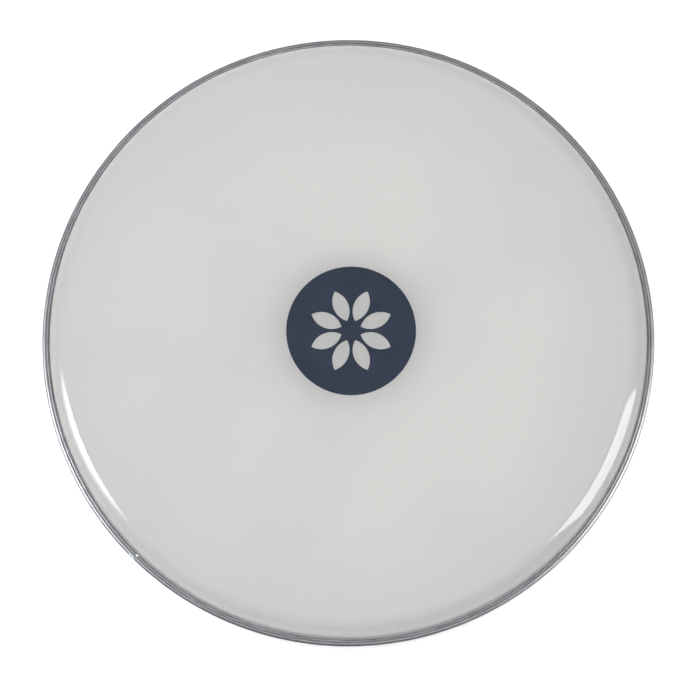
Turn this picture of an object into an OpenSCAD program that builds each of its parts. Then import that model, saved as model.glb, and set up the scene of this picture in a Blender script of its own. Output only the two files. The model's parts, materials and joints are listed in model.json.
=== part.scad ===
// Loose synthetic drumhead for a frame drum: a sheet of milky film with a formed collar,
// its edge hooked round a core ring and potted in an aluminium channel hoop.
// Millimetres. The hoop rests on z = 0, and the playing surface faces +Z.

/* [Hoop] */
// Outside diameter of the hoop
hoop_od = 316; // [150:1:420]
// Width of the channel, from its outer face to its bore
hoop_w = 5; // [5:0.1:7]
// Height of the outer wall, to the top of its rolled lip
hoop_h = 9.6; // [9:0.1:14]
// Height of the inner wall
inner_wall_h = 6.5; // [6:0.1:7]
// Thickness of the outer wall and the base
sheet_t = 0.8; // [0.6:0.1:0.9]
// Thickness of the inner wall
inner_wall_t = 0.5; // [0.4:0.1:0.6]
// Width of the rolled lip
lip_w = 1.7; // [1.6:0.05:1.8]
// Outer radius of the bend at the root of the lip
lip_bend_r = 1; // [0.95:0.05:1.1]

/* [Seam] */
// Angle of the butt seam round the hoop, from +X
seam_angle = 226.5; // [0:0.5:359.5]
// Open gap between the two ends of the hoop
seam_gap = 0.4; // [0.2:0.1:1]
// Open gap between the two ends of the core ring
core_gap = 0.9; // [0.5:0.1:0.9]
// Length of the splice strip inside the channel
key_l = 24; // [12:1:40]
// Length of the flattened weld patch on the lip
weld_l = 3.4; // [2:0.1:8]
// Diameter of the weld bead between the ends of the core ring
bead_d = 1.1; // [1:0.1:1.1]

/* [Film] */
// Thickness of the film
film_t = 0.25; // [0.18:0.01:0.3]
// Height of the playing surface above the lip
collar_h = 12.7; // [10:0.1:16]
// Outer radius of the rounded shoulder
shoulder_r = 11; // [8:0.5:11]
// How far the shoulder's widest point lies outside the bore
shoulder_out = 0.5; // [0.25:0.05:0.6]

/* [Core ring] */
// Width of the core ring
core_w = 1.2; // [1.2:0.1:1.4]
// How far the core ring's crown lies below the top of the lip
core_drop = 0.2; // [0.1:0.1:0.5]

/* [Badge] */
// Diameter of the printed badge
badge_d = 66; // [40:1:90]
// Offset of the badge's centre from the hoop's axis along X
badge_x = 1.7; // [-5:0.1:5]
// Offset of the badge's centre from the hoop's axis along Y
badge_y = 0.7; // [-5:0.1:5]
// Thickness of the ink
ink_t = 0.05; // [0.03:0.01:0.1]
// Number of petals left bare in the ink
petals = 8; // [5:1:10]
// Where the petals start, as a share of the badge's radius
petal_from = 0.16; // [0.14:0.02:0.3]
// Where the petals end, as a share of the badge's radius
petal_to = 0.66; // [0.5:0.02:0.8]

/* [Hidden] */
$fn = 180;
arc_steps = 10;

// Radii across the hoop, from its outer face inwards
hoop_ro = hoop_od / 2;
hoop_ri = hoop_ro - hoop_w;
wall_in_r = hoop_ro - sheet_t;
base_corner_r = 2;
bore_corner_r = 0.8;
lip_end_r = 0.2;
inner_wall_top_r = inner_wall_t / 2;

// The film's hooked edge: down the inner wall, round under the core ring and up again
tail_ri = hoop_ri + inner_wall_t;
tail_ro = tail_ri + film_t;
tail_space = 1.05;
hook_space_out = 0.2;
hook_floor_gap = 1.3;
hook_top = 5.6;
core_foot_drop = 0.4;
core_ri = tail_ro + tail_space;
core_ro = core_ri + core_w;
hook_in = core_ro + hook_space_out;
hook_c = (tail_ro + hook_in) / 2;
hook_r = (hook_in - tail_ro) / 2;
hook_z = sheet_t + hook_floor_gap + hook_r + film_t;
core_bottom = hook_z - core_foot_drop;
core_top = hoop_h - core_drop;

// The film above the hoop: a leaning wall that is tangent to the shoulder
film_z = hoop_h + collar_h;
shoulder_c = [hoop_ri + shoulder_out - shoulder_r, film_z - shoulder_r];
tail_rise = 0.1;
tail_end = [tail_ro, inner_wall_h + tail_rise];
tail_v = tail_end - shoulder_c;
lean = atan2(tail_v[1], tail_v[0]) + acos(shoulder_r / norm(tail_v));

// Levels of the cast resin: outside the core ring, below the lip, and inside it, below the inner wall's top
resin_drop_out = 1.15;
resin_drop_in = 0.25;
resin_z_out = hoop_h - sheet_t - resin_drop_out;
resin_z_in = inner_wall_h - resin_drop_in;

// The splice strip, which lies on the base under the hook
key_space = 0.15;
key_ri = tail_ro + key_space;
key_w = 1.9;
key_t = 1;

// Weld metal at the seam: a patch ground flush with the lip, and a plug between the hoop's ends
patch_t = 0.12;
patch_w = 0.45;
patch_land = 0.15;
plug_w = 0.6;
plug_low = 1.4;
plug_high = 6.6;

// How full the petals are
petal_fill = 1.5;

// Points along a round stretch of an outline
function arc(c, r, a0, a1, n = arc_steps) =
    [for (i = [0:n]) let (a = a0 + (a1 - a0) * i / n) c + r * [cos(a), sin(a)]];

// The angle that an arc of the given length covers on a circle
function span(length, r) = length / r * 180 / PI;

// A rectangle between two corners, with its corners rounded
module soft_rect(low, high, r) {
    polygon(concat(
        arc([high[0] - r, high[1] - r], r, 0, 90, 5),
        arc([low[0] + r, high[1] - r], r, 90, 180, 5),
        arc([low[0] + r, low[1] + r], r, 180, 270, 5),
        arc([high[0] - r, low[1] + r], r, 270, 360, 5)));
}

// The channel's cross-section: base, outer wall bent into the lip, and inner wall with a round top
module channel_section() {
    inside_r = base_corner_r - sheet_t;
    bend_c = [hoop_ro - lip_bend_r, hoop_h - lip_bend_r];
    lip_end = hoop_ro - lip_w + lip_end_r;
    polygon(concat(
        arc([hoop_ro - base_corner_r, base_corner_r], base_corner_r, 270, 360),
        arc(bend_c, lip_bend_r, 0, 90),
        arc([lip_end, hoop_h - lip_end_r], lip_end_r, 90, 180, 5),
        arc([lip_end, hoop_h - sheet_t + lip_end_r], lip_end_r, 180, 270, 5),
        arc(bend_c, lip_bend_r - sheet_t, 90, 0),
        arc([wall_in_r - inside_r, base_corner_r], inside_r, 360, 270),
        [[hoop_ri + inner_wall_t, sheet_t]],
        arc([hoop_ri + inner_wall_top_r, inner_wall_h - inner_wall_top_r], inner_wall_top_r, 0, 180),
        arc([hoop_ri + bore_corner_r, bore_corner_r], bore_corner_r, 180, 270)));
}

// The film's cross-section, from the axis over the shoulder to the end of the hook
module film_section() {
    polygon(concat(
        [[0, film_z]],
        arc(shoulder_c, shoulder_r, 90, lean, 14),
        [tail_end],
        [[tail_ro, hook_z]],
        arc([hook_c, hook_z], hook_r, 180, 360),
        [[hook_in, hook_top], [hook_in + film_t, hook_top]],
        arc([hook_c, hook_z], hook_r + film_t, 360, 180),
        [[tail_ri, tail_end[1]]],
        arc(shoulder_c, shoulder_r - film_t, lean, 90, 14),
        [[0, film_z - film_t]]));
}

// The core ring's cross-section: a flat strip on edge with a round crown and foot
module core_section() {
    soft_rect([core_ri, core_bottom], [core_ro, core_top], core_w * 0.49);
}

// The resin's cross-section: it fills the channel round the film's hook and the core ring's foot
module resin_section() {
    inside_r = base_corner_r - sheet_t;
    difference() {
        polygon(concat(
            [[tail_ri, resin_z_out], [tail_ri, sheet_t]],
            arc([wall_in_r - inside_r, base_corner_r], inside_r, 270, 360),
            [[wall_in_r, resin_z_out]]));
        translate([tail_ri - 1, resin_z_in]) square([core_ri + core_w / 2 - tail_ri + 1, hoop_h]);
        film_section();
        core_section();
    }
}

// A slot across the hoop at the seam, which opens both of its ends
module seam_slot(gap, from_r, to_r) {
    rotate(seam_angle)
        translate([from_r, -gap / 2, -1]) cube([to_r - from_r, gap, film_z + 2]);
}

module membrane() {
    color("gainsboro") rotate_extrude() film_section();
}

// One petal along +X: the lens where two circles cross
module petal(from_r, to_r, width) {
    length = to_r - from_r;
    lens_r = (length * length + width * width) / (4 * width);
    translate([(from_r + to_r) / 2, 0]) intersection() {
        translate([0, lens_r - width / 2]) circle(lens_r);
        translate([0, width / 2 - lens_r]) circle(lens_r);
    }
}

module badge_print() {
    from_r = badge_d / 2 * petal_from;
    to_r = badge_d / 2 * petal_to;
    petal_w = (from_r + to_r) / 2 * sin(180 / petals) * petal_fill;
    color("darkslategray") translate([badge_x, badge_y, film_z]) linear_extrude(ink_t)
        difference() {
            circle(d = badge_d);
            for (i = [0:petals - 1])
                rotate((i + 0.5) * 360 / petals) petal(from_r, to_r, petal_w);
        }
}

// The weld patch's solid, beside the seam in the flat of the lip, raised further to cut its recess
module lip_patch(rise = 0) {
    turn = span(weld_l, hoop_ro);
    rotate(seam_angle - turn - span(seam_gap / 2 + patch_land, hoop_ro)) rotate_extrude(angle = turn)
        translate([hoop_ro - lip_w + lip_end_r, hoop_h - patch_t]) square([patch_w, patch_t + rise]);
}

module hoop_channel() {
    color("silver") difference() {
        rotate_extrude() channel_section();
        seam_slot(seam_gap, hoop_ri - 1, hoop_ro + 1);
        lip_patch(1);
    }
}

module core_ring() {
    color("lightgray") difference() {
        rotate_extrude() core_section();
        seam_slot(core_gap, core_ri - 1, core_ro + 1);
    }
}

// The splice strip's solid, a flat arc across the seam
module key_strip() {
    turn = span(key_l, key_ri);
    rotate(seam_angle - turn / 2) rotate_extrude(angle = turn)
        translate([key_ri, sheet_t]) square([key_w, key_t]);
}

module joint_key() {
    color("darkgray") key_strip();
}

module potting_resin() {
    color("wheat") difference() {
        rotate_extrude() resin_section();
        key_strip();
    }
}

// A plug low in the seam, a bead between the core ring's ends, and the patch in the lip
module seam_weld() {
    color("lightsteelblue") {
        rotate(seam_angle)
            translate([wall_in_r, -seam_gap / 2, plug_low])
                cube([plug_w, seam_gap, plug_high - plug_low]);
        intersection() {
            rotate(seam_angle)
                translate([(core_ri + core_ro) / 2, 0, core_top - bead_d / 2]) sphere(d = bead_d);
            seam_slot(core_gap, core_ri, core_ro);
        }
        lip_patch();
    }
}

membrane();
badge_print();
hoop_channel();
core_ring();
potting_resin();
joint_key();
seam_weld();
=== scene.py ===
"""Looks for a loose synthetic drumhead: milky film with a printed badge, potted in an aluminium
channel hoop. Metres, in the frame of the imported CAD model, with the playing surface facing +Z."""
import json
import math

import bmesh
import bpy
from mathutils import Matrix, Vector, noise


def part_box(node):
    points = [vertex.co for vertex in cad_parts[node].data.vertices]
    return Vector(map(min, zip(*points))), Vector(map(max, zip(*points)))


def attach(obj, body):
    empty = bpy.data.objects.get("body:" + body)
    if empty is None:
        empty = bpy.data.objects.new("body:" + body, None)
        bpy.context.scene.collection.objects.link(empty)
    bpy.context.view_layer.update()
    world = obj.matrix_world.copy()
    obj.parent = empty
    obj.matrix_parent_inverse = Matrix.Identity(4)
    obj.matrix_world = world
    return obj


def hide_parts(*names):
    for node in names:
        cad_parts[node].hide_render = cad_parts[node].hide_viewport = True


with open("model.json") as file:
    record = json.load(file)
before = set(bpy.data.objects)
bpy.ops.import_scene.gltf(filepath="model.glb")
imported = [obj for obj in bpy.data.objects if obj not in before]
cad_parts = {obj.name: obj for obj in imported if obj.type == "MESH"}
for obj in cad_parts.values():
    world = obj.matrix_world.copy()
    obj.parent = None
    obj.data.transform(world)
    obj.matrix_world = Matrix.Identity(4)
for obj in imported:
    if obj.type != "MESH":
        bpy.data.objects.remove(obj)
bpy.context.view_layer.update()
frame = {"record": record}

MM = 0.001
TURN = 2 * math.pi
BODY = "root"

# ---------------------------------------------------------------- sizes from the frame

HOOP_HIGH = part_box("hoop_channel")[1]
FILM_LOW, FILM_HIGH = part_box("membrane")
CORE_LOW, CORE_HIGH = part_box("core_ring")
RESIN_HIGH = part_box("potting_resin")[1]
BADGE_LOW, BADGE_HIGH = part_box("badge_print")
KEY_LOW, KEY_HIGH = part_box("joint_key")
MOUNTS = {mount["name"]: mount for mount in frame["record"]["mounts"]}

HOOP_OUT = round(HOOP_HIGH.x, 4)
BORE_R = MOUNTS["shell_bore"]["dims"]["r_mm"] * MM
HOOP_TOP = HOOP_HIGH.z
FILM_TOP = FILM_HIGH.z
BADGE_R = (BADGE_HIGH.x - BADGE_LOW.x) / 2
BADGE_AT = (BADGE_LOW + BADGE_HIGH) / 2
INK_T = BADGE_HIGH.z - BADGE_LOW.z

# The hoop's channel. The lip's bend is a little fuller than the CAD solid's, within the same box.
SHEET_T = 0.8 * MM
INNER_WALL_T = 0.5 * MM
INNER_WALL_TOP = 6.5 * MM
WALL_IN = HOOP_OUT - SHEET_T
BASE_CORNER = 2.0 * MM
BORE_CORNER = 0.8 * MM
LIP_W = 1.7 * MM
LIP_BEND_R = 1.3 * MM
LIP_END_R = 0.2 * MM

# The film and its hooked edge
FILM_T = 0.25 * MM
SHOULDER_R = 11 * MM
SHOULDER_OUT = 0.5 * MM
TAIL_IN = BORE_R + INNER_WALL_T
TAIL_OUT = TAIL_IN + FILM_T
HOOK_OUT = round(FILM_HIGH.x, 5)
HOOK_IN = HOOK_OUT - FILM_T
HOOK_C = (TAIL_OUT + HOOK_IN) / 2
HOOK_R = (HOOK_IN - TAIL_OUT) / 2
HOOK_Z = FILM_LOW.z + HOOK_R + FILM_T
HOOK_TOP = 5.6 * MM
TAIL_TOP = INNER_WALL_TOP + 0.1 * MM

# The core ring and the resin round it
CORE_OUT = round(CORE_HIGH.x, 4)
CORE_W = 1.2 * MM
CORE_IN = CORE_OUT - CORE_W
CORE_ROUND = 0.49 * CORE_W
RESIN_OUT_Z = RESIN_HIGH.z
RESIN_IN_Z = 6.25 * MM

# The seam
SEAM = math.radians(226.5)
SEAM_GAP = 0.4 * MM
CORE_GAP = 0.9 * MM
KEY_L = 24 * MM
KEY_W = 1.9 * MM
KEY_IN = TAIL_OUT + 0.15 * MM
PATCH_L = 3.4 * MM

# The badge: its petals, as shares of its radius, and the shade that it casts on the film, painted into the
# film's colour
PETALS = 8
PETAL_FROM = 0.16
PETAL_TO = 0.66
PETAL_FILL = 1.5
BADGE_SHADE = 18 * MM
BADGE_SHADE_DEPTH = 0.105

# Steps round a full turn of a swept piece, the angle of an edge that stays sharp, in degrees, and
# a length or an angle that counts as nothing
STEPS = 720
SHARP_EDGE = 35
NOTHING = 1e-9


# ---------------------------------------------------------------- mesh helpers

def arc(centre, radius, start, end, count):
    """Points (r, z) along a round stretch of an outline, with the angles in degrees."""
    points = []
    for i in range(count + 1):
        a = math.radians(start + (end - start) * i / count)
        points.append((centre[0] + radius * math.cos(a), centre[1] + radius * math.sin(a)))
    return points


def line(start, end, count):
    """Points from start up to, but not at, end."""
    return [(start[0] + (end[0] - start[0]) * i / count, start[1] + (end[1] - start[1]) * i / count)
            for i in range(count)]


def finish_mesh(name, bm):
    """A bmesh as an object, shaded smooth with its sharp edges kept."""
    bmesh.ops.recalc_face_normals(bm, faces=bm.faces)
    mesh = bpy.data.meshes.new(name)
    bm.to_mesh(mesh)
    bm.free()
    mesh.shade_smooth()
    mesh.set_sharp_from_angle(angle=math.radians(SHARP_EDGE))
    obj = bpy.data.objects.new(name, mesh)
    bpy.context.scene.collection.objects.link(obj)
    return obj


def add_swept(bm, outline, start=0.0, turn=TURN, steps=STEPS, uneven=None):
    """Adds an outline of (r, z) swept round the axis: a closed loop, or a line from axis to axis.

    uneven(r, z, angle) gives the small (dr, dz) by which a point strays from true.
    """
    full = abs(turn - TURN) < NOTHING
    to_axis = outline[0][0] < NOTHING
    rings = []
    for i in range(steps if full else steps + 1):
        a = start + turn * i / steps
        ring = []
        for r, z in outline:
            if r < NOTHING:
                ring.append(None)
                continue
            dr, dz = uneven(r, z, a) if uneven else (0.0, 0.0)
            ring.append(bm.verts.new(((r + dr) * math.cos(a), (r + dr) * math.sin(a), z + dz)))
        rings.append(ring)
    poles = {i: bm.verts.new((0, 0, z)) for i, (r, z) in enumerate(outline) if r < NOTHING}
    spans = len(outline) - 1 if to_axis else len(outline)
    for i in range(steps):
        here, there = rings[i], rings[(i + 1) % len(rings)]
        for j in range(spans):
            k = (j + 1) % len(outline)
            corners = [here[j] or poles.get(j), there[j] or poles.get(j),
                       there[k] or poles.get(k), here[k] or poles.get(k)]
            bm.faces.new(list(dict.fromkeys(corners)))
    if not full:
        bm.faces.new(rings[0])
        bm.faces.new(rings[-1])


def swept(name, outline, **settings):
    """An outline swept round the axis as an object, with add_swept's settings."""
    bm = bmesh.new()
    add_swept(bm, outline, **settings)
    return finish_mesh(name, bm)


def ripple(angle, radius, length, seed):
    """Smooth noise from -1 to 1 that closes round a ring, with features of about the given length."""
    turns = radius / length
    return noise.noise(Vector((turns * math.cos(angle), turns * math.sin(angle), seed)))


# ---------------------------------------------------------------- material helpers

class Graph:
    """A material's node tree, built by adding one node after another."""

    def __init__(self, name):
        self.material = bpy.data.materials.new(name)
        self.material.use_nodes = True
        self.tree = self.material.node_tree
        self.tree.nodes.clear()

    def add(self, kind, inputs=(), **settings):
        """Adds a node. inputs maps a socket's name or index to a value or to another node's output."""
        made = self.tree.nodes.new("ShaderNode" + kind)
        for key, value in settings.items():
            setattr(made, key, value)
        for key, value in dict(inputs).items():
            if isinstance(value, bpy.types.NodeSocket):
                self.tree.links.new(value, made.inputs[key])
            else:
                made.inputs[key].default_value = value
        return made

    def math(self, operation, a, b=0.0):
        """The result of a Math node."""
        return self.add("Math", {0: a, 1: b}, operation=operation).outputs[0]

    def place(self):
        """The point on the object, in metres."""
        return self.add("TexCoord").outputs["Object"]

    def ring_place(self, along=1.0, across=1.0):
        """(metres along the hoop's turn, radius, height), so that a pattern can run round the hoop.

        The turn is cut at the seam. along and across stretch the pattern.
        """
        turned = self.add("VectorRotate", {"Vector": self.place(), "Angle": math.pi - SEAM},
                          rotation_type="Z_AXIS").outputs[0]
        parts = self.add("SeparateXYZ", {0: turned}).outputs
        angle = self.math("ARCTAN2", parts[1], parts[0])
        length = self.math("MULTIPLY", angle, HOOP_OUT * along)
        return self.add("CombineXYZ", {0: length, 1: self.math("MULTIPLY", self.radius(turned), across),
                                       2: self.math("MULTIPLY", parts[2], across)}).outputs[0]

    def radius(self, place):
        """Distance from the hoop's axis, in metres."""
        parts = self.add("SeparateXYZ", {0: place}).outputs
        flat = self.add("CombineXYZ", {0: parts[0], 1: parts[1]}).outputs[0]
        return self.add("VectorMath", {0: flat}, operation="LENGTH").outputs["Value"]

    def near_badge(self, place):
        """1 inside the badge, which falls off to 0 over the film round it."""
        away = self.add("VectorMath", {0: place, 1: BADGE_AT}, operation="DISTANCE").outputs["Value"]
        near = self.span(away, BADGE_R, BADGE_R + BADGE_SHADE, 1.0, 0.0)
        return self.math("MULTIPLY", near, near)

    def noise(self, place, size, detail=3.0, roughness=0.55):
        """Noise from 0 to 1 with features of about the given size in metres."""
        return self.add("TexNoise", {"Vector": place, "Scale": 1 / size, "Detail": detail,
                                     "Roughness": roughness}).outputs["Fac"]

    def span(self, value, low, high, to_low, to_high):
        """value from low..high mapped to to_low..to_high, and held outside."""
        return self.add("MapRange", {"Value": value, "From Min": low, "From Max": high,
                                     "To Min": to_low, "To Max": to_high}, clamp=True).outputs[0]

    def blend(self, share, first, second):
        """A colour between two colours."""
        mix = self.add("Mix", {0: share}, data_type="RGBA")
        for socket, value in ((mix.inputs[6], first), (mix.inputs[7], second)):
            if isinstance(value, bpy.types.NodeSocket):
                self.tree.links.new(value, socket)
            else:
                socket.default_value = (*value, 1.0)
        return mix.outputs[2]

    def dimmed(self, colour, share):
        """A colour times a share."""
        return self.add("VectorMath", {0: colour, "Scale": share}, operation="SCALE").outputs[0]

    def bump(self, height, distance, normal=None):
        """A normal tilted by a height of 0 to 1, which stands for the given distance in metres."""
        inputs = {"Height": height, "Distance": distance}
        if normal is not None:
            inputs["Normal"] = normal
        return self.add("Bump", inputs).outputs[0]

    def scratches(self, place, length, width, turn, rarity):
        """Thin straight scratches, 0 to 1, at an angle across the surface."""
        soft_edge = 0.06
        turned = self.add("VectorRotate", {"Vector": place, "Angle": turn},
                          rotation_type="Z_AXIS").outputs[0]
        scale = (1 / length, 1 / width, 1 / width)
        thin = self.add("Mapping", {"Vector": turned, "Scale": scale}).outputs[0]
        marks = self.noise(thin, 1.0, detail=2.0)
        return self.span(marks, rarity, rarity + soft_edge, 0.0, 1.0)

    def finish(self, shader):
        """The material, with the given shader on its surface."""
        self.add("OutputMaterial", {"Surface": shader})
        return self.material


# ---------------------------------------------------------------- materials

def film_material():
    """Milky polyester film: gloss over a body that passes part of the light. Its colour is painted a
    little darker towards its edge, painted shade, and darker round the badge, painted shade for the
    badge's shadow from below."""
    g = Graph("milky_film")
    place = g.place()
    cloud = g.span(g.noise(place, 60 * MM, detail=2.0), 0.3, 0.7, 0.0, 1.0)
    grain = g.noise(place, 1.6 * MM, detail=2.0)
    marks = g.scratches(place, 34 * MM, 0.35 * MM, 0.4, 0.70)
    body = g.blend(cloud, (0.63, 0.63, 0.622), (0.66, 0.66, 0.65))
    body = g.blend(g.span(grain, 0.3, 0.7, 0.0, 0.10), body, (0.44, 0.45, 0.46))
    # Painted shade: the film's body and through colours darken a little towards its edge.
    painted_edge_shade = g.span(g.radius(place), 0.6 * BORE_R, BORE_R, 0.0, 1.0)
    body = g.blend(painted_edge_shade, body, (0.62, 0.62, 0.612))
    through = g.blend(cloud, (0.91, 0.91, 0.905), (0.94, 0.94, 0.93))
    through = g.blend(painted_edge_shade, through, (0.915, 0.915, 0.91))
    # Painted shade: the badge's shadow from below, painted into the film's colours round it.
    shade = g.math("SUBTRACT", 1.0, g.math("MULTIPLY", g.near_badge(place), BADGE_SHADE_DEPTH))
    body = g.dimmed(body, shade)
    through = g.dimmed(through, shade)
    rough = g.math("ADD", g.span(grain, 0.3, 0.7, 0.05, 0.075), g.math("MULTIPLY", marks, 0.08))
    normal = g.bump(cloud, 0.02 * MM)
    skin = g.add("BsdfPrincipled", {"Base Color": body, "Roughness": rough, "IOR": 1.75,
                                    "Specular IOR Level": 1.0, "Normal": normal})
    light = g.add("BsdfTranslucent", {"Color": through})
    glance = g.add("LayerWeight", {"Blend": 0.12}).outputs["Fresnel"]
    share = g.span(glance, 0.0, 1.0, 0.66, 0.0)
    return g.finish(g.add("MixShader", {0: share, 1: skin.outputs[0], 2: light.outputs[0]}).outputs[0])


def ink_material():
    """Screen-printed navy ink, satin, a little thin and uneven."""
    g = Graph("navy_ink")
    place = g.place()
    flow = g.noise(place, 9 * MM, detail=2.0)
    dots = g.noise(place, 0.35 * MM, detail=2.0)
    colour = g.blend(g.span(flow, 0.3, 0.7, 0.0, 1.0), (0.010, 0.016, 0.030), (0.013, 0.019, 0.035))
    colour = g.blend(g.span(dots, 0.45, 0.75, 0.0, 0.12), colour, (0.025, 0.032, 0.05))
    rough = g.span(flow, 0.2, 0.8, 0.30, 0.33)
    normal = g.bump(flow, 0.01 * MM)
    skin = g.add("BsdfPrincipled", {"Base Color": colour, "Roughness": rough, "IOR": 1.5,
                                    "Specular IOR Level": 0.35, "Normal": normal})
    return g.finish(skin.outputs[0])


def hoop_material():
    """Rolled aluminium in its mill finish: fine lines round the hoop, dull patches, and a painted dark
    reflection along the outer edge.
    """
    g = Graph("mill_aluminium")
    place = g.place()
    lines = g.noise(g.ring_place(along=0.02), 0.12 * MM, detail=3.0)
    wide = g.noise(g.ring_place(along=0.06), 1.2 * MM, detail=3.0)
    patches = g.noise(place, 9 * MM, detail=3.0)
    specks = g.noise(place, 0.8 * MM, detail=2.0)
    tone = g.blend(g.span(patches, 0.35, 0.65, 0.0, 1.0), (0.71, 0.73, 0.755), (0.83, 0.835, 0.84))
    tone = g.blend(g.span(wide, 0.45, 0.7, 0.0, 0.4), tone, (0.54, 0.54, 0.55))
    tone = g.blend(g.span(specks, 0.66, 0.74, 0.0, 0.4), tone, (0.34, 0.31, 0.29))
    height = g.add("SeparateXYZ", {0: place}).outputs[2]
    # Painted dark reflection: the upper part of the outer bend is painted dark, which also dims its
    # highlight; it is a little rougher there too.
    outer = g.span(g.radius(place), HOOP_OUT - 1.25 * MM, HOOP_OUT - 0.6 * MM, 0.0, 1.0)
    upper = g.span(height, HOOP_TOP - LIP_BEND_R - 0.6 * MM, HOOP_TOP - LIP_BEND_R, 0.0, 1.0)
    darkening = g.math("MULTIPLY", g.math("MULTIPLY", outer, upper), g.span(wide, 0.3, 0.7, 0.95, 0.75))
    tone = g.blend(darkening, tone, (0.10, 0.09, 0.10))
    rough = g.math("ADD", g.span(patches, 0.3, 0.7, 0.32, 0.40), g.span(lines, 0.3, 0.7, -0.03, 0.05))
    rough = g.math("ADD", rough, g.math("MULTIPLY", darkening, 0.10))
    normal = g.bump(lines, 0.006 * MM)
    normal = g.bump(wide, 0.012 * MM, normal=normal)
    skin = g.add("BsdfPrincipled", {"Base Color": tone, "Metallic": 1.0, "Roughness": rough,
                                    "Normal": normal})
    return g.finish(skin.outputs[0])


def core_material():
    """The grey core ring: satin, mottled, and darker and browner below its crown."""
    g = Graph("core_ring")
    place = g.place()
    mottle = g.noise(g.ring_place(along=0.15), 1.4 * MM, detail=4.0, roughness=0.6)
    fine = g.noise(place, 0.4 * MM, detail=3.0)
    height = g.add("SeparateXYZ", {0: place}).outputs[2]
    # Darker and browner below the crown.
    darkening = g.span(height, CORE_HIGH.z - 1.0 * MM, CORE_HIGH.z - 0.3 * MM, 1.0, 0.0)
    tone = g.blend(g.span(mottle, 0.36, 0.62, 0.0, 1.0), (0.13, 0.132, 0.150), (0.235, 0.239, 0.266))
    tone = g.blend(g.span(fine, 0.6, 0.75, 0.0, 0.4), tone, (0.09, 0.088, 0.09))
    tone = g.blend(g.math("MULTIPLY", darkening, 0.6), tone, (0.17, 0.145, 0.145))
    rough = g.span(mottle, 0.3, 0.7, 0.26, 0.15)
    normal = g.bump(mottle, 0.04 * MM)
    normal = g.bump(fine, 0.02 * MM, normal=normal)
    skin = g.add("BsdfPrincipled", {"Base Color": tone, "Roughness": rough, "IOR": 1.8,
                                    "Specular IOR Level": 1.0, "Normal": normal})
    return g.finish(skin.outputs[0])


def resin_material():
    """Greyish casting resin with tiny bubbles and dust on it."""
    g = Graph("grey_resin")
    place = g.place()
    flow = g.noise(g.ring_place(along=0.3), 3 * MM, detail=3.0)
    bubbles = g.add("TexVoronoi", {"Vector": place, "Scale": 1 / (0.9 * MM)}).outputs["Distance"]
    pits = g.span(bubbles, 0.12, 0.22, 1.0, 0.0)
    dust = g.noise(place, 0.5 * MM, detail=4.0)
    tone = g.blend(g.span(flow, 0.3, 0.7, 0.0, 1.0), (0.50, 0.465, 0.475), (0.62, 0.585, 0.595))
    tone = g.blend(g.math("MULTIPLY", pits, 0.4), tone, (0.68, 0.64, 0.62))
    tone = g.blend(g.span(dust, 0.55, 0.8, 0.0, 0.5), tone, (0.44, 0.42, 0.42))
    rough = g.span(dust, 0.4, 0.7, 0.25, 0.55)
    normal = g.bump(pits, -0.05 * MM)
    skin = g.add("BsdfPrincipled", {"Base Color": tone, "Roughness": rough, "IOR": 1.53, "Normal": normal})
    return g.finish(skin.outputs[0])


def key_material():
    """Plain sawn aluminium strip."""
    g = Graph("sawn_aluminium")
    place = g.place()
    saw = g.noise(g.ring_place(along=6.0, across=0.5), 2.0 * MM, detail=3.0)
    patches = g.noise(place, 5 * MM, detail=3.0)
    tone = g.blend(g.span(patches, 0.3, 0.7, 0.0, 1.0), (0.50, 0.51, 0.52), (0.66, 0.66, 0.655))
    rough = g.span(saw, 0.3, 0.7, 0.36, 0.55)
    skin = g.add("BsdfPrincipled", {"Base Color": tone, "Metallic": 1.0, "Roughness": rough,
                                    "Normal": g.bump(saw, 0.04 * MM)})
    return g.finish(skin.outputs[0])


def weld_material():
    """Weld metal, ground flat on the lip: dull, blue-grey and pitted. The core ring's bead is white."""
    g = Graph("ground_weld")
    place = g.place()
    heat = g.noise(place, 2.4 * MM, detail=3.0)
    pits = g.noise(place, 0.3 * MM, detail=3.0)
    tone = g.blend(g.span(heat, 0.3, 0.7, 0.0, 1.0), (0.50, 0.54, 0.60), (0.68, 0.70, 0.74))
    tone = g.blend(g.span(pits, 0.58, 0.7, 0.0, 0.6), tone, (0.20, 0.20, 0.22))
    metal = g.span(g.radius(place), CORE_OUT, CORE_OUT + 0.1 * MM, 0.0, 1.0)
    bead = g.blend(g.span(pits, 0.55, 0.75, 0.0, 0.5), (0.93, 0.93, 0.92), (0.78, 0.77, 0.75))
    tone = g.blend(metal, bead, tone)
    rough = g.span(heat, 0.3, 0.7, 0.42, 0.6)
    skin = g.add("BsdfPrincipled", {"Base Color": tone, "Metallic": metal, "Roughness": rough,
                                    "Normal": g.bump(pits, 0.05 * MM)})
    return g.finish(skin.outputs[0])


def floor_material():
    """Plain pale paper."""
    g = Graph("pale_paper")
    grain = g.noise(g.place(), 3 * MM, detail=2.0)
    tone = g.blend(g.span(grain, 0.3, 0.7, 0.0, 1.0), (0.79, 0.79, 0.79), (0.81, 0.81, 0.81))
    skin = g.add("BsdfPrincipled", {"Base Color": tone, "Roughness": 0.9, "Specular IOR Level": 0.2})
    return g.finish(skin.outputs[0])


# ---------------------------------------------------------------- outlines

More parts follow.
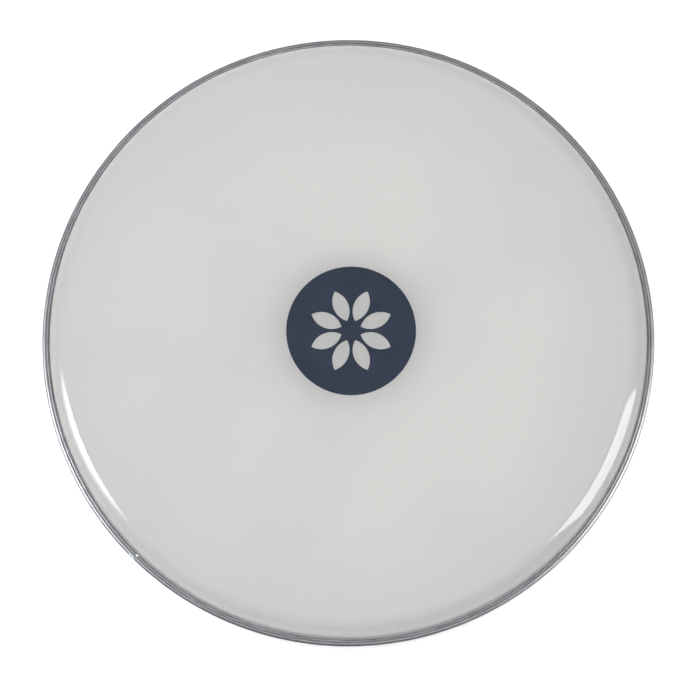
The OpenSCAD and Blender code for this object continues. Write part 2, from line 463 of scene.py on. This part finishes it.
def film_outline():
    """The film from the axis over the shoulder to its hooked edge, and back along its underside."""
    centre = (BORE_R + SHOULDER_OUT - SHOULDER_R, FILM_TOP - SHOULDER_R)
    tail = (TAIL_OUT, TAIL_TOP)
    to_tail = (tail[0] - centre[0], tail[1] - centre[1])
    lean = math.degrees(math.atan2(to_tail[1], to_tail[0])
                        + math.acos(SHOULDER_R / math.hypot(*to_tail)))
    flat = line((0.0, FILM_TOP), (centre[0], FILM_TOP), 12)
    shoulder = arc(centre, SHOULDER_R, 90, lean, 36)
    wall = line(shoulder[-1], tail, 4)[1:]
    hook_in = arc((HOOK_C, HOOK_Z), HOOK_R, 180, 360, 14)
    edge = arc((HOOK_IN + FILM_T / 2, HOOK_TOP), FILM_T / 2, 180, 0, 6)
    hook_out = arc((HOOK_C, HOOK_Z), HOOK_R + FILM_T, 360, 180, 14)
    under = arc(centre, SHOULDER_R - FILM_T, lean, 90, 30)
    flat_under = line((0.0, FILM_TOP - FILM_T), (centre[0], FILM_TOP - FILM_T), 6)
    return (flat + shoulder + wall + [tail] + hook_in + edge + hook_out
            + [(TAIL_IN, TAIL_TOP)] + under + flat_under[::-1])


def hoop_outline():
    """The channel: base, outer wall bent into the lip, and inner wall with a round top."""
    inside_corner = BASE_CORNER - SHEET_T
    lip_end = HOOP_OUT - LIP_W + LIP_END_R
    bend_c = (HOOP_OUT - LIP_BEND_R, HOOP_TOP - LIP_BEND_R)
    fillet = 0.3 * MM
    wall_round = INNER_WALL_T / 2
    return (arc((HOOP_OUT - BASE_CORNER, BASE_CORNER), BASE_CORNER, 270, 360, 12)
            + arc(bend_c, LIP_BEND_R, 0, 90, 20)
            + arc((lip_end, HOOP_TOP - LIP_END_R), LIP_END_R, 100, 180, 5)
            + arc((lip_end, HOOP_TOP - SHEET_T + LIP_END_R), LIP_END_R, 180, 270, 5)
            + arc(bend_c, LIP_BEND_R - SHEET_T, 90, 0, 10)
            + arc((WALL_IN - inside_corner, BASE_CORNER), inside_corner, 360, 270, 8)
            + arc((TAIL_IN + fillet, SHEET_T + fillet), fillet, 270, 180, 4)
            + arc((BORE_R + wall_round, INNER_WALL_TOP - wall_round), wall_round, 0, 180, 10)
            + arc((BORE_R + BORE_CORNER, BORE_CORNER), BORE_CORNER, 180, 270, 8))


def core_outline():
    """The core ring: a strip on edge with a round crown and foot."""
    r = CORE_ROUND
    low, high = CORE_LOW.z + r, CORE_HIGH.z - r
    return (arc((CORE_OUT - r, high), r, 0, 90, 9)
            + arc((CORE_IN + r, high), r, 90, 180, 9)
            + arc((CORE_IN + r, low), r, 180, 270, 9)
            + arc((CORE_OUT - r, low), r, 270, 360, 9))


def meniscus(start, end, level, climb, count=8):
    """A resin surface between two walls at radii start and end, which climbs a little at both."""
    points = []
    for i in range(count + 1):
        t = i / count
        points.append((start + (end - start) * t, level - climb + 2 * climb * abs(2 * t - 1) ** 3))
    return points


def resin_outline():
    """The casting: it fills the channel round the film's hook and the core ring's foot."""
    inside_corner = BASE_CORNER - SHEET_T
    foot = CORE_ROUND
    climb = 0.1 * MM
    under_core = 0.1 * MM
    return ([(TAIL_IN, SHEET_T)]
            + arc((WALL_IN - inside_corner, BASE_CORNER), inside_corner, 270, 360, 8)
            + meniscus(WALL_IN, CORE_OUT - under_core, RESIN_OUT_Z - climb, climb)
            + arc((CORE_OUT - foot, CORE_LOW.z + foot), foot - under_core, 360, 180, 12)
            + meniscus(CORE_IN + under_core, TAIL_OUT, RESIN_IN_Z - climb, climb)
            + arc((HOOK_C, HOOK_Z), HOOK_R, 180, 360, 14)
            + [(HOOK_IN, HOOK_TOP), (HOOK_OUT, HOOK_TOP)]
            + arc((HOOK_C, HOOK_Z), HOOK_R + FILM_T, 360, 180, 14))


# ---------------------------------------------------------------- pieces

def add_to_frame(obj, material, slot, *nodes):
    """Gives a piece its material and ties it to the frame, in place of its CAD nodes."""
    obj.data.materials.append(material)
    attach(obj, BODY)
    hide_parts(*nodes)


def make_film():
    """The sheet of film, in one piece from the playing surface to its hooked edge."""
    return swept("film", film_outline(), steps=600)


def lip_uneven(r, z, angle):
    """The roller leaves the lip slightly wavy, and always inside its true outline."""
    share = max(0.0, min(1.0, (z - HOOP_TOP) / LIP_BEND_R + 1.0))
    long_wave = 0.03 * MM * ripple(angle, r, 12 * MM, 3.1)
    short_wave = 0.006 * MM * ripple(angle, r, 3.5 * MM, 7.7)
    stray = long_wave + short_wave - 0.045 * MM
    return share * stray, share * 0.6 * stray


def make_hoop():
    """The channel hoop, open at the seam."""
    half_gap = SEAM_GAP / 2 / HOOP_OUT
    return swept("channel_hoop", hoop_outline(), start=SEAM + half_gap, turn=TURN - 2 * half_gap,
                 uneven=lip_uneven)


def core_uneven(r, z, angle):
    """The core ring sits a little unevenly in its resin."""
    share = 1.0 if z > (CORE_LOW.z + CORE_HIGH.z) / 2 else 0.0
    long_wave = 0.06 * MM * ripple(angle, r, 14 * MM, 1.3)
    short_wave = 0.05 * MM * ripple(angle, r, 1.8 * MM, 5.9)
    stray = long_wave + short_wave
    return share * 0.5 * stray, share * stray


def make_core():
    """The core ring, open at the seam."""
    half_gap = CORE_GAP / 2 / CORE_IN
    return swept("core_strip", core_outline(), start=SEAM + half_gap, turn=TURN - 2 * half_gap,
                 uneven=core_uneven)


def make_resin():
    """The cast resin, which runs on under the seam."""
    return swept("cast_resin", resin_outline(), steps=480)


def make_key():
    """The splice strip, with its long edges eased."""
    turn = KEY_L / KEY_IN
    ease = 0.12 * MM
    near, far = KEY_IN, KEY_IN + KEY_W
    low, high = KEY_LOW.z, KEY_HIGH.z
    outline = [(near + ease, low), (far - ease, low), (far, low + ease), (far, high - ease),
               (far - ease, high), (near + ease, high), (near, high - ease), (near, low + ease)]
    return swept("splice_strip", outline, start=SEAM - turn / 2, turn=turn, steps=24)


def move_to_seam(bm, verts, radius, height):
    """Moves vertices from the origin to a radius and a height at the seam."""
    seat = Matrix.Rotation(SEAM, 4, "Z") @ Matrix.Translation((radius, 0, height))
    bmesh.ops.transform(bm, matrix=seat, verts=verts)


def add_patch(bm):
    """The patch over the bend of the lip, up to one end of the hoop."""
    turn = PATCH_L / HOOP_OUT
    end = SEAM - SEAM_GAP / 2 / HOOP_OUT
    thick = 0.12 * MM
    bend_c = (HOOP_OUT - LIP_BEND_R, HOOP_TOP - LIP_BEND_R)
    over = arc(bend_c, LIP_BEND_R, 25, 94, 12)
    under = arc(bend_c, LIP_BEND_R - thick, 94, 25, 12)
    add_swept(bm, over + under, start=end - turn, turn=turn, steps=24)


def add_bead(bm):
    """The lumpy bead between the core ring's ends, longer across the ring than along it."""
    radius = 0.55 * MM
    stretch = 1.25
    inset = 0.15 * MM
    lumps, lumps_per_metre = 0.1, 900
    half = CORE_GAP / 2
    bead = bmesh.ops.create_icosphere(bm, subdivisions=4, radius=radius)["verts"]
    for v in bead:
        v.co.y = max(-half, min(half, v.co.y))
        v.co.z *= 1.0 + lumps * noise.noise(v.co * lumps_per_metre)
        v.co.x *= stretch
    move_to_seam(bm, bead, (CORE_IN + CORE_OUT) / 2 - inset, CORE_HIGH.z - radius)


def add_plug(bm):
    """The plug low in the seam, with eased edges."""
    width, low, high = 0.6 * MM, 1.4 * MM, 6.6 * MM
    plug = bmesh.ops.create_cube(bm, size=1.0)["verts"]
    bmesh.ops.scale(bm, vec=(width, SEAM_GAP, high - low), verts=plug)
    move_to_seam(bm, plug, WALL_IN + width / 2, (low + high) / 2)
    edges = list({e for v in plug for e in v.link_edges})
    bmesh.ops.bevel(bm, geom=edges, offset=0.08 * MM, segments=2, affect="EDGES")


def make_weld():
    """The patch on the lip, the bead between the core ring's ends and the plug low in the seam."""
    bm = bmesh.new()
    add_patch(bm)
    add_bead(bm)
    add_plug(bm)
    return finish_mesh("seam_weld_metal", bm)


def petal_points(index, count=20):
    """Points round one petal: the lens where two circles cross."""
    start, end = BADGE_R * PETAL_FROM, BADGE_R * PETAL_TO
    length = end - start
    width = (start + end) / 2 * math.sin(math.pi / PETALS) * PETAL_FILL
    lens_r = (length * length + width * width) / (4 * width)
    half = math.asin(length / 2 / lens_r)
    turn = Matrix.Rotation((index + 0.5) * TURN / PETALS, 3, "Z")
    points = []
    for side in (1, -1):
        for i in range(count):
            a = half * (1 - 2 * i / count)
            x = (start + end) / 2 + side * lens_r * math.sin(a)
            y = side * (lens_r * math.cos(a) - lens_r + width / 2)
            points.append(turn @ Vector((x, y, 0)))
    return points


def make_badge():
    """The printed disc, with its petals left bare."""
    bm = bmesh.new()
    rim = [Vector((x, y, 0)) for x, y in arc((0, 0), BADGE_R, 0, 360, 240)[:-1]]
    edges = []
    for loop in [rim] + [petal_points(i) for i in range(PETALS)]:
        verts = [bm.verts.new(p) for p in loop]
        edges += [bm.edges.new((verts[i], verts[(i + 1) % len(verts)])) for i in range(len(verts))]
    bmesh.ops.triangle_fill(bm, use_beauty=True, use_dissolve=False, edges=edges)
    faces = list(bm.faces)
    raised = bmesh.ops.extrude_face_region(bm, geom=faces, use_keep_orig=True)["geom"]
    top = [v for v in raised if isinstance(v, bmesh.types.BMVert)]
    bmesh.ops.translate(bm, vec=(0, 0, INK_T), verts=top)
    bmesh.ops.translate(bm, vec=(BADGE_AT.x, BADGE_AT.y, BADGE_LOW.z), verts=bm.verts)
    return finish_mesh("badge_ink", bm)


# ---------------------------------------------------------------- stage, light and camera

# The camera's tilt from straight down and the way it leans, in degrees, its distance and the height
# that it looks at, in metres, and its lens and sensor, in millimetres
CAMERA_TILT = 7.81
CAMERA_HEADING = 86.9
CAMERA_DISTANCE = 0.85
CAMERA_AIM_Z = 0.010
CAMERA_LENS = 84.78
CAMERA_SENSOR = 36
CAMERA_SHIFT = (0.0030, -0.0211)

# The room's colour on the far side and on the camera's side, and where along Y one becomes the other
ROOM_FAR = (0.36, 0.37, 0.375)
ROOM_NEAR = (0.14, 0.135, 0.175)
ROOM_FAR_Y = 0.0
ROOM_NEAR_Y = -0.75

# The floor, the overhead panel and the lights' colours
FLOOR_R = 6.0
FILL_PLACE = (-0.25, 0.0, 1.4)
FILL_SIZE = 2.0
FILL_RADIANCE = 3.75
FILL_WHITE = (1.0, 0.993, 0.985)
WARM_WHITE = (1.0, 0.985, 0.95)
COOL_WHITE = (0.92, 0.94, 1.0)


def make_floor():
    """A wide disc of pale paper under the head."""
    bm = bmesh.new()
    bmesh.ops.create_circle(bm, cap_ends=True, radius=FLOOR_R, segments=96)
    floor = finish_mesh("floor", bm)
    floor.data.materials.append(floor_material())


def make_room():
    """A plain dim room, darker and bluer behind the camera's side."""
    world = bpy.data.worlds.new("room")
    bpy.context.scene.world = world
    world.use_nodes = True
    tree = world.node_tree
    tree.nodes.clear()
    place = tree.nodes.new("ShaderNodeTexCoord")
    parts = tree.nodes.new("ShaderNodeSeparateXYZ")
    level = tree.nodes.new("ShaderNodeMapRange")
    mix = tree.nodes.new("ShaderNodeMix")
    light = tree.nodes.new("ShaderNodeBackground")
    out = tree.nodes.new("ShaderNodeOutputWorld")
    mix.data_type = "RGBA"
    level.inputs["From Min"].default_value = ROOM_NEAR_Y
    level.inputs["From Max"].default_value = ROOM_FAR_Y
    mix.inputs[6].default_value = (*ROOM_NEAR, 1.0)
    mix.inputs[7].default_value = (*ROOM_FAR, 1.0)
    tree.links.new(place.outputs["Generated"], parts.inputs[0])
    tree.links.new(parts.outputs[1], level.inputs["Value"])
    tree.links.new(level.outputs[0], mix.inputs[0])
    tree.links.new(mix.outputs[2], light.inputs["Color"])
    tree.links.new(light.outputs[0], out.inputs["Surface"])


def area_light(name, place, size, radiance, colour):
    """A rectangular light of a given radiance; place is its matrix, and it shines along its own -Z."""
    data = bpy.data.lights.new(name, "AREA")
    data.shape = "RECTANGLE"
    data.size, data.size_y = size
    data.energy = radiance * math.pi * size[0] * size[1]
    data.color = colour
    obj = bpy.data.objects.new(name, data)
    bpy.context.scene.collection.objects.link(obj)
    obj.matrix_world = place
    return obj


def fade_to_edge(light, share):
    """Makes a light elliptical, and dims it over the outer share of its radius."""
    light.shape = "ELLIPSE"
    light.use_nodes = True
    tree = light.node_tree
    spot = tree.nodes.new("ShaderNodeNewGeometry")
    away = tree.nodes.new("ShaderNodeVectorMath")
    level = tree.nodes.new("ShaderNodeMapRange")
    middle, edge = (0.5, 0.5, 0.0), 0.5
    away.operation = "DISTANCE"
    away.inputs[1].default_value = middle
    level.interpolation_type = "SMOOTHSTEP"
    level.inputs["From Min"].default_value = edge
    level.inputs["From Max"].default_value = edge * (1.0 - share)
    tree.links.new(spot.outputs["Parametric"], away.inputs[0])
    tree.links.new(away.outputs["Value"], level.inputs["Value"])
    tree.links.new(level.outputs[0], tree.nodes["Emission"].inputs["Strength"])


def softbox(name, centre, along, up, size, radiance, colour, fade=0.0):
    """A softbox that faces the head and shows in its gloss, but doesn't light it otherwise.

    along and up are the directions of its sides. fade is the share of its radius over which it dims.
    """
    x = Vector(along).normalized()
    z = x.cross(Vector(up)).normalized()
    y = z.cross(x)
    place = Matrix.Translation(centre) @ Matrix((x, y, z)).transposed().to_4x4()
    shines_away = z.dot(Vector(centre)) < 0
    if shines_away:
        place = place @ Matrix.Rotation(math.pi, 4, "Y")
    obj = area_light(name, place, size, radiance, colour)
    obj.visible_diffuse = False
    if fade:
        fade_to_edge(obj.data, fade)


def make_fill():
    """A big overhead panel that lights everything softly and doesn't show in the gloss."""
    place = Matrix.Translation(FILL_PLACE)
    fill = area_light("fill", place, (FILL_SIZE, FILL_SIZE), FILL_RADIANCE, FILL_WHITE)
    fill.visible_glossy = False


def make_camera():
    """Almost straight above the head, a little towards its near side."""
    tilt = math.radians(CAMERA_TILT)
    heading = math.radians(CAMERA_HEADING)
    lean = math.sin(tilt)
    back = Vector((lean * math.cos(heading), -lean * math.sin(heading), math.cos(tilt)))
    right = (Vector((1, 0, 0)) - back * back.x).normalized()
    up = back.cross(right)
    data = bpy.data.cameras.new("camera")
    data.lens = CAMERA_LENS
    data.sensor_width = CAMERA_SENSOR
    data.shift_x, data.shift_y = CAMERA_SHIFT
    data.clip_start = 0.01
    camera = bpy.data.objects.new("camera", data)
    bpy.context.scene.collection.objects.link(camera)
    place = Vector((0, 0, CAMERA_AIM_Z)) + back * CAMERA_DISTANCE
    camera.matrix_world = Matrix.Translation(place) @ Matrix((right, up, back)).transposed().to_4x4()
    bpy.context.scene.camera = camera


make_camera()
make_room()
make_floor()
make_fill()
softbox("softbox_right", centre=(0.707, -0.285, 0.482), along=(0.081, 0.997, 0.004),
        up=(-0.223, 0.015, 0.975), size=(0.442, 0.788), radiance=6.3, colour=WARM_WHITE)
softbox("softbox_left", centre=(-0.646, -0.153, 0.607), along=(0.630, -0.724, 0.281),
        up=(-0.431, -0.025, 0.902), size=(0.480, 1.290), radiance=10.0, colour=COOL_WHITE, fade=0.5)

add_to_frame(make_film(), film_material(), "film", "membrane")
add_to_frame(make_badge(), ink_material(), "ink", "badge_print")
add_to_frame(make_hoop(), hoop_material(), "hoop_aluminium", "hoop_channel")
add_to_frame(make_core(), core_material(), "core", "core_ring")
add_to_frame(make_resin(), resin_material(), "resin", "potting_resin")
add_to_frame(make_key(), key_material(), "key_aluminium", "joint_key")
add_to_frame(make_weld(), weld_material(), "weld", "seam_weld")

bpy.context.scene.view_settings.view_transform = "Standard"
bpy.context.view_layer.update()
